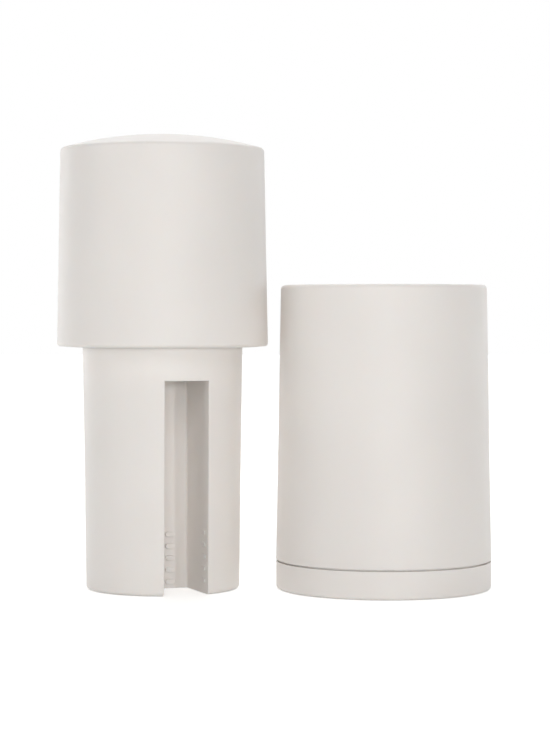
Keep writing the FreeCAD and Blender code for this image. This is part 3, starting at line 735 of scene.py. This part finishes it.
def add_countersink(shape, x, y):
    """Adds a cutter for a countersunk hole through the flange."""
    place = Matrix.Translation(Vector((x, y, head_middle)) * MM)
    bmesh.ops.create_cone(shape, cap_ends=True, segments=48, radius1=head_radius * MM,
                          radius2=shank_radius * MM, depth=head_height * MM, matrix=place)
    add_cylinder(shape, shank_radius, shank_low, shank_top, x, y)


for x, y in insert_screws:
    hole = bmesh.new()
    add_countersink(hole, x, y)
    chamber = combine(chamber, hole, "DIFFERENCE")
holes = bmesh.new()
hole_top = well_top + past_end
for side in (-1, 1):
    add_cylinder(holes, cover_hole_radius, cover_hole_low, hole_top, side * boss_x, well_middle)
chamber = combine(chamber, holes, "DIFFERENCE")


def on_mouth(point, near=0.02, slack=0.05, outside=22.9):
    """True for a point of the slot's mouth, on the column's outside."""
    across, height = abs(point.x) / MM, point.z / MM
    beside = abs(across - slot_half) < near and height < slot_height + slack
    above = abs(height - slot_height) < near and across < slot_half + near
    return point.y < 0 and math.hypot(point.x, point.y) / MM > outside and (beside or above)


sharp_edge = 0.8
mouth = [edge for edge in chamber.edges
         if all(on_mouth(point.co) for point in edge.verts) and edge.calc_face_angle(0) > sharp_edge]
round_edges(chamber, mouth, rounding=0.6, segments=4, clamp=True)
print("mouth edges:", len(mouth))

# %% [markdown]
# ## Grip studs
#
# Low on the slot's walls stand rows of small raised ovals that keep the spice from turning. Each stud
# is a circle pulled apart into an oval, raised, and softened along its upper edge. The rows on the two
# side walls stand half a step higher than the row at the back, which is a little to the right of the
# wall's middle. The side rows are lower, so that the mould's core can be pulled out past them.

# %% Add the studs
stud_step = 3.55
stud_first = 2.1
stud_root = 0.2
stud_radius, stud_stretch, stud_rounding = 0.75, 0.7, 0.15
back_aside, back_rise = 1.3, 0.8
side_forward, side_rise = 17.8, 0.2


def add_stud(shape, place, rise):
    """Adds one stud that rises along +Z of its own frame, and is placed by a matrix."""
    stud = bmesh.new()
    bmesh.ops.create_circle(stud, cap_ends=True, radius=stud_radius * MM, segments=32)
    for side in (-1, 1):
        half = [point for point in stud.verts if point.co.x * side > 0.01 * MM]
        bmesh.ops.translate(stud, verts=half, vec=(side * stud_stretch * MM, 0, 0))
    top = moving_points(bmesh.ops.extrude_face_region(stud, geom=stud.faces[:]))
    bmesh.ops.translate(stud, verts=top, vec=(0, 0, (rise + stud_root) * MM))
    rim = [edge for edge in stud.edges if all(point in top for point in edge.verts)]
    round_edges(stud, rim, stud_rounding, segments=4)
    bmesh.ops.recalc_face_normals(stud, faces=stud.faces)
    bmesh.ops.transform(stud, matrix=place, verts=stud.verts)
    mesh = to_mesh("stud", stud)
    shape.from_mesh(mesh)
    bpy.data.meshes.remove(mesh)


facing_out = Matrix.Rotation(math.radians(90), 4, "X")
for row in range(5):
    height = stud_first + row * stud_step
    back_place = Vector((back_aside, stud_root - slot_back, height)) * MM
    add_stud(chamber, Matrix.Translation(back_place) @ facing_out, back_rise)
    for side in (-1, 1):
        turned = Matrix.Rotation(math.radians(90 * -side), 4, "Z") @ facing_out
        wall_place = Vector((side * (slot_half + stud_root), -side_forward, height + stud_step / 2)) * MM
        add_stud(chamber, Matrix.Translation(wall_place) @ turned, side_rise)
finish_piece("spice_column", stand_beside(chamber), "off_white_plastic", "insert", "spice_chamber")

# %% [markdown]
# ## The glide ring
#
# Between knob and body runs a slippery ring, captive on the column's neck by a thin inner lip. It is
# split at the back so that it can be snapped on, so its outline is spun for a little less than a turn.

# %% Turn the glide ring
glide_inside, glide_outside, glide_low, glide_high = 24.67, 29.32, 72.8, 74.3
lip_inside, lip_low, lip_high = 23.7, 73.5, 74.0
glide_corners = [
    (glide_inside, glide_low, 0.2), (glide_outside, glide_low, 0.3), (glide_outside, glide_high, 0.3),
    (glide_inside, glide_high), (glide_inside, lip_high), (lip_inside, lip_high),
    (lip_inside, lip_low), (glide_inside, lip_low),
]
split_width, split_radius = 2.0, 27.0
split_angle = math.degrees(split_width / split_radius)
glide_shape = turn(outline(glide_corners), angle=360 - split_angle)
finish_piece("glide_washer", stand_beside(glide_shape), "glide_plastic", "glide", "glide_ring")

# %% [markdown]
# ## The pusher's spring
#
# The spring is one round wire that climbs round the pusher's rod, flatter at both ends where it
# bears. A small circle is spun step by step, and each step also lifts it, by more in the middle than
# at the ends. The spring rides with the insert.

# %% Coil the spring
coils = 8
steps_per_coil = 32
wire_radius = 0.35
coil_radius = 4.6
spring_low = 69.1 + wire_radius
spring_high = 98.6 - wire_radius
end_rise = 1.2


def ease(turn_number):
    """How much of the full pitch holds at a number of turns from the spring's foot."""
    from_end = min(turn_number, coils - turn_number)
    return min(max(from_end - 0.5, 0), 1)


middles = [(step + 0.5) / steps_per_coil for step in range(coils * steps_per_coil)]
eased = sum(ease(middle) for middle in middles) / steps_per_coil
full_rise = end_rise + (spring_high - spring_low - end_rise * coils) / eased
spring_shape = bmesh.new()
bmesh.ops.create_circle(spring_shape, cap_ends=False, radius=wire_radius * MM, segments=14)
upright = Matrix.Rotation(math.pi / 2, 3, "X")
bmesh.ops.rotate(spring_shape, verts=spring_shape.verts, cent=(0, 0, 0), matrix=upright)
foot = (coil_radius * MM, 0, spring_low * MM)
bmesh.ops.translate(spring_shape, verts=spring_shape.verts, vec=foot)
ring = spring_shape.verts[:] + spring_shape.edges[:]
for middle in middles:
    rise = (end_rise + (full_rise - end_rise) * ease(middle)) / steps_per_coil
    spun = bmesh.ops.spin(spring_shape, geom=ring, cent=(0, 0, 0), axis=(0, 0, 1),
                          dvec=(0, 0, rise * MM), angle=2 * math.pi / steps_per_coil, steps=1)
    ring = spun["geom_last"]
bmesh.ops.holes_fill(spring_shape, edges=[edge for edge in spring_shape.edges if edge.is_boundary])
bmesh.ops.recalc_face_normals(spring_shape, faces=spring_shape.faces)
heights = [point.co.z / MM for point in spring_shape.verts]
print("spring from %.2f to %.2f mm" % (min(heights), max(heights)))
bmesh.ops.translate(spring_shape, verts=spring_shape.verts, vec=(0, well_middle * MM, 0))
stand_beside(spring_shape)
spring = finish_piece("coil_spring", spring_shape, "spring_steel", "insert", "pusher_spring")
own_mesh(spring)

# %% [markdown]
# ## Pieces that keep their CAD shape
#
# The etched blade, its clamp ring, the pusher and the small fasteners already have the right shape.
# They only take a better finish, through their material slots.

# %% Finish the CAD pieces
kept_pieces = {
    "blade_disc": "blade_steel",
    "blade_ring": "inner_plastic",
    "pusher_head": "inner_plastic",
    "spring_cover": "inner_plastic",
    "pusher_rod": "rod_steel",
    "rod_clip": "spring_steel",
    "liner_screws": "screw_steel",
    "ring_screws": "screw_steel",
    "chamber_screws": "screw_steel",
    "cover_screws": "screw_steel",
}
for node, finish in kept_pieces.items():
    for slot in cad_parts[node].material_slots:
        slot.material = finishes[finish]
print("CAD pieces with a new finish:", len(kept_pieces))
